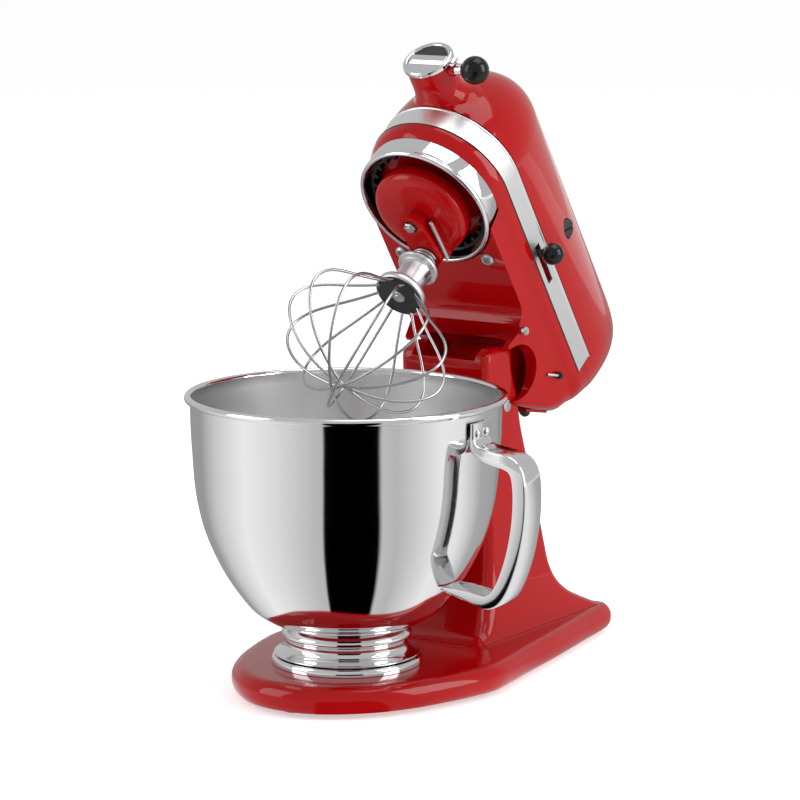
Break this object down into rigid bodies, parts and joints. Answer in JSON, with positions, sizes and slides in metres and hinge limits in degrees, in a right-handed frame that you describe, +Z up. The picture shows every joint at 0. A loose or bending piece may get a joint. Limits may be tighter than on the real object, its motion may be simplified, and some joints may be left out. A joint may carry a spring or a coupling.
{
  "type": "stand mixer",
  "caption": "Tilt-head stand mixer with its head raised, a polished bowl with a handle, a wire whisk on a planetary drive and an accessory hub.",
  "frame": {"origin": "on the table under the bowl's axis, at the centre of the middle foot's underside", "axes": "+Z up, -Y towards the front, +X towards the speed lever's side"},
  "size_m": [0.2605, 0.4288, 0.4412],
  "materials": {
    "red_enamel": "high-gloss enamel over die-cast metal",
    "bowl_steel": "mirror polished outside, brushed inside",
    "bright_chrome": "bright plated",
    "machined_steel": "machined or drawn steel",
    "black_knob": "gloss black phenolic",
    "foot_rubber": "moulded rubber",
    "bronze": "cast bronze gear",
    "windings": "lacquered copper windings",
    "motor_iron": "stacked iron laminations",
    "carbon": "pressed carbon",
    "board": "laminate circuit board",
    "satin_aluminium": "satin cast aluminium"
  },
  "bodies": {
    "stand": {"base_casting": "red_enamel", "column": "red_enamel", "foot_centre": "foot_rubber", "foot_front": "foot_rubber", "foot_left": "foot_rubber", "foot_right": "foot_rubber", "foot_rear_left": "foot_rubber", "foot_rear_right": "foot_rubber", "bowl_clamp_plate": "bright_chrome", "clamp_plate_screw_1": "machined_steel", "clamp_plate_screw_2": "machined_steel", "clamp_plate_screw_3": "machined_steel", "hinge_pin": "machined_steel"},
    "bowl": {"bowl_shell": "bowl_steel", "bowl_foot_ring": "bright_chrome", "bowl_handle": "bowl_steel", "handle_rivet_front": "machined_steel", "handle_rivet_rear": "machined_steel"},
    "head": {"motor_housing": "red_enamel", "gearcase": "red_enamel", "vent_cover": "red_enamel", "trim_band": "bright_chrome", "drip_ring": "bright_chrome", "ring_gear": "machined_steel", "motor_stator": "motor_iron", "rear_bearing": "machined_steel", "shaft_bearing": "machined_steel", "control_board": "board", "brush_cap_left": "black_knob", "brush_cap_right": "black_knob", "carbon_brush_left": "carbon", "carbon_brush_right": "carbon", "cord_gland": "black_knob", "gearcase_screw_1": "machined_steel", "gearcase_screw_2": "machined_steel"},
    "planetary": {"planetary": "red_enamel", "planetary_shaft": "machined_steel", "planetary_screw": "machined_steel", "centre_gear": "machined_steel"},
    "beater": {"beater_shaft": "machined_steel", "beater_pinion": "machined_steel", "beater_spring": "machined_steel", "whisk_ferrule": "satin_aluminium", "whisk_wire_1": "machined_steel", "whisk_wire_2": "machined_steel", "whisk_wire_3": "machined_steel", "whisk_wire_4": "machined_steel", "whisk_wire_5": "machined_steel", "whisk_wire_6": "machined_steel"},
    "armature": {"armature_shaft": "machined_steel", "armature_core": "windings", "cooling_fan": "black_knob"},
    "worm_wheel": {"worm_wheel": "bronze"},
    "hub_drive": {"hub_drive": "machined_steel"},
    "speed_lever": {"speed_lever": "machined_steel", "speed_knob": "black_knob"},
    "lock_lever": {"lock_lever": "machined_steel", "lock_knob": "black_knob"},
    "hub_knob": {"hub_knob": "black_knob"},
    "hub_cover": {"hub_cover": "bright_chrome"}
  },
  "joints": [
    {"name": "head_tilt", "type": "hinge", "parent": "stand", "child": "head", "pos_m": [0, 0.148, 0.1826], "axis": [1, 0, 0], "range_deg": [0, 55]},
    {"name": "bowl_twist", "type": "hinge", "parent": "stand", "child": "bowl", "pos_m": [0, 0, 0.025], "axis": [0, 0, 1], "range_deg": [0, 25]},
    {"name": "planetary_spin", "type": "hinge", "parent": "head", "child": "planetary", "pos_m": [0, 0.08146, 0.31668], "axis": [0, 0.8192, 0.5736], "continuous": true},
    {"name": "beater_spin", "type": "hinge", "parent": "planetary", "child": "beater", "pos_m": [0.00282, 0.09686, 0.29469], "axis": [0, 0.8192, 0.5736], "continuous": true},
    {"name": "worm_wheel_spin", "type": "hinge", "parent": "head", "child": "worm_wheel", "pos_m": [0.025, 0.17577, 0.3511], "axis": [0, 0.8192, 0.5736], "continuous": true},
    {"name": "motor_spin", "type": "hinge", "parent": "head", "child": "armature", "pos_m": [0, 0.21827, 0.2904], "axis": [0, 0.5736, -0.8192], "continuous": true},
    {"name": "hub_drive_spin", "type": "hinge", "parent": "head", "child": "hub_drive", "pos_m": [0, 0.12462, 0.39574], "axis": [0, -0.5736, 0.8192], "continuous": true},
    {"name": "speed_lever_slide", "type": "slide", "parent": "head", "child": "speed_lever", "axis": [0, 0.5736, -0.8192], "range_m": [0, 0.022]},
    {"name": "lock_lever_slide", "type": "slide", "parent": "head", "child": "lock_lever", "axis": [0, 0.5736, -0.8192], "range_m": [0, 0.022]},
    {"name": "hub_knob_turn", "type": "hinge", "parent": "head", "child": "hub_knob", "pos_m": [0.03, 0.10512, 0.42359], "axis": [1, 0, 0], "continuous": true},
    {"name": "hub_cover_hinge", "type": "hinge", "parent": "head", "child": "hub_cover", "pos_m": [0.0209, 0.10088, 0.42965], "axis": [0, 0.8192, 0.5736], "range_deg": [0, 100]}
  ],
  "couplings": [
    {"joint": "beater_spin", "follows": "planetary_spin", "ratio": -3},
    {"joint": "worm_wheel_spin", "follows": "planetary_spin", "ratio": -3},
    {"joint": "motor_spin", "follows": "planetary_spin", "ratio": -18},
    {"joint": "hub_drive_spin", "follows": "planetary_spin", "ratio": 1}
  ]
}
